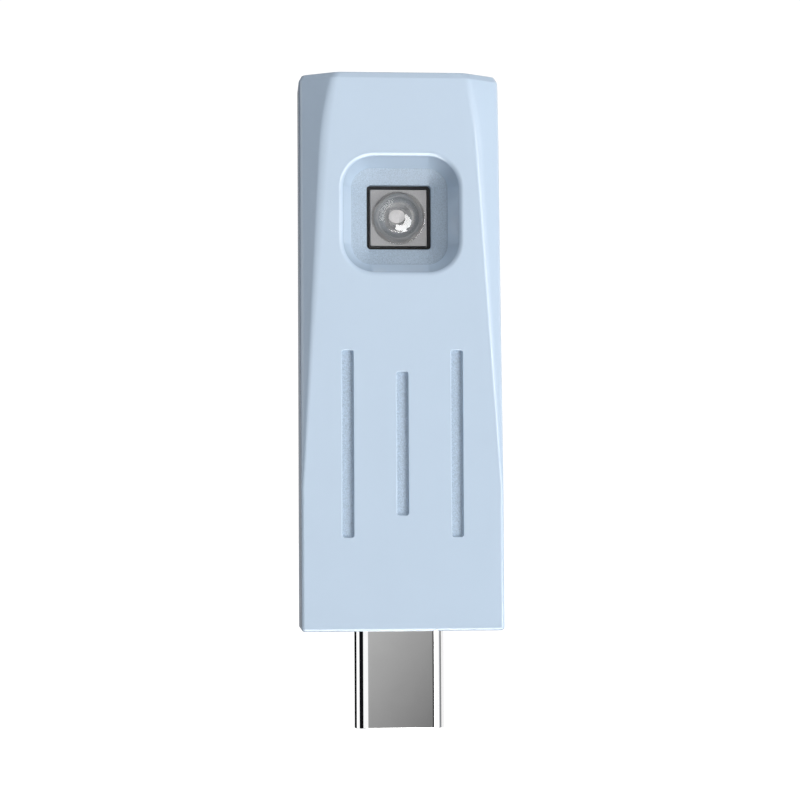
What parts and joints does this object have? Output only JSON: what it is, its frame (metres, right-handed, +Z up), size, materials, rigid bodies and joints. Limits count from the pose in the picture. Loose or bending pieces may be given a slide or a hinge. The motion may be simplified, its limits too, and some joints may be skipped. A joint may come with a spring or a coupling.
{
  "type": "usb-c led lamp stick",
  "caption": "Slim plug-in lamp: a pale moulded stick with an LED in a square well, three grip grooves and a USB-C plug on its end.",
  "frame": {"origin": "middle of the housing's flat lower end, on the plug's axis", "axes": "+Z up the stick away from the plug, -Y out of the light window, +X to the right seen from the window side"},
  "size_m": [0.0184, 0.009, 0.0599],
  "materials": {
    "shell_plastic": "smooth moulded pale blue, glossy",
    "black_moulding": "black connector moulding",
    "nickel_shell": "bright nickel plate",
    "gold_contact": "thin gold plate on the contacts",
    "spring_steel": "bright rolled steel",
    "led_ceramic": "matt grey-beige ceramic",
    "led_lens": "clear dome",
    "led_chip": "pale emitter die",
    "gasket": "black silicone",
    "led_board": "white solder mask on aluminium",
    "thermal_pad": "grey filled silicone",
    "heat_spreader": "plain milled",
    "circuit_board": "green solder mask on glass laminate",
    "chip_body": "black moulded epoxy",
    "inductor": "grey ferrite",
    "capacitor": "tan fired ceramic",
    "resistor": "black glazed",
    "red_wire": "red insulation",
    "black_wire": "black insulation"
  },
  "bodies": {
    "lamp_body": {"housing": "shell_plastic", "back_cover": "shell_plastic", "plug_insulator": "black_moulding", "plug_rear_block": "black_moulding", "plug_shell": "nickel_shell", "contact_a1_ground": "gold_contact", "contact_a4_power": "gold_contact", "contact_a5_sense": "gold_contact", "contact_a9_power": "gold_contact", "contact_a12_ground": "gold_contact", "contact_b1_ground": "gold_contact", "contact_b4_power": "gold_contact", "contact_b9_power": "gold_contact", "contact_b12_ground": "gold_contact", "ground_plate": "spring_steel", "board_screw_1": "spring_steel", "board_screw_2": "spring_steel", "led_package": "led_ceramic", "led_lens": "led_lens", "led_chip": "led_chip", "light_gasket": "gasket", "led_board": "led_board", "thermal_pad": "thermal_pad", "heat_spreader": "heat_spreader", "main_board": "circuit_board", "driver_chip": "chip_body", "rectifier_diode": "chip_body", "power_inductor": "inductor", "input_capacitor": "capacitor", "output_capacitor": "capacitor", "current_sense_resistor": "resistor", "cc_resistor_1": "resistor", "cc_resistor_2": "resistor", "lead_wire_plus": "red_wire", "lead_wire_minus": "black_wire"},
    "left_latch": {"latch_left": "spring_steel"},
    "right_latch": {"latch_right": "spring_steel"}
  },
  "joints": [
    {"name": "latch_left_flex", "type": "hinge", "parent": "lamp_body", "child": "left_latch", "pos_m": [-0.0035, 0, -0.0026], "axis": [0, 1, 0], "range_deg": [0, 2], "stiffness_Nm_per_rad": 0.2},
    {"name": "latch_right_flex", "type": "hinge", "parent": "lamp_body", "child": "right_latch", "pos_m": [0.0035, 0, -0.0026], "axis": [0, -1, 0], "range_deg": [0, 2], "stiffness_Nm_per_rad": 0.2}
  ]
}
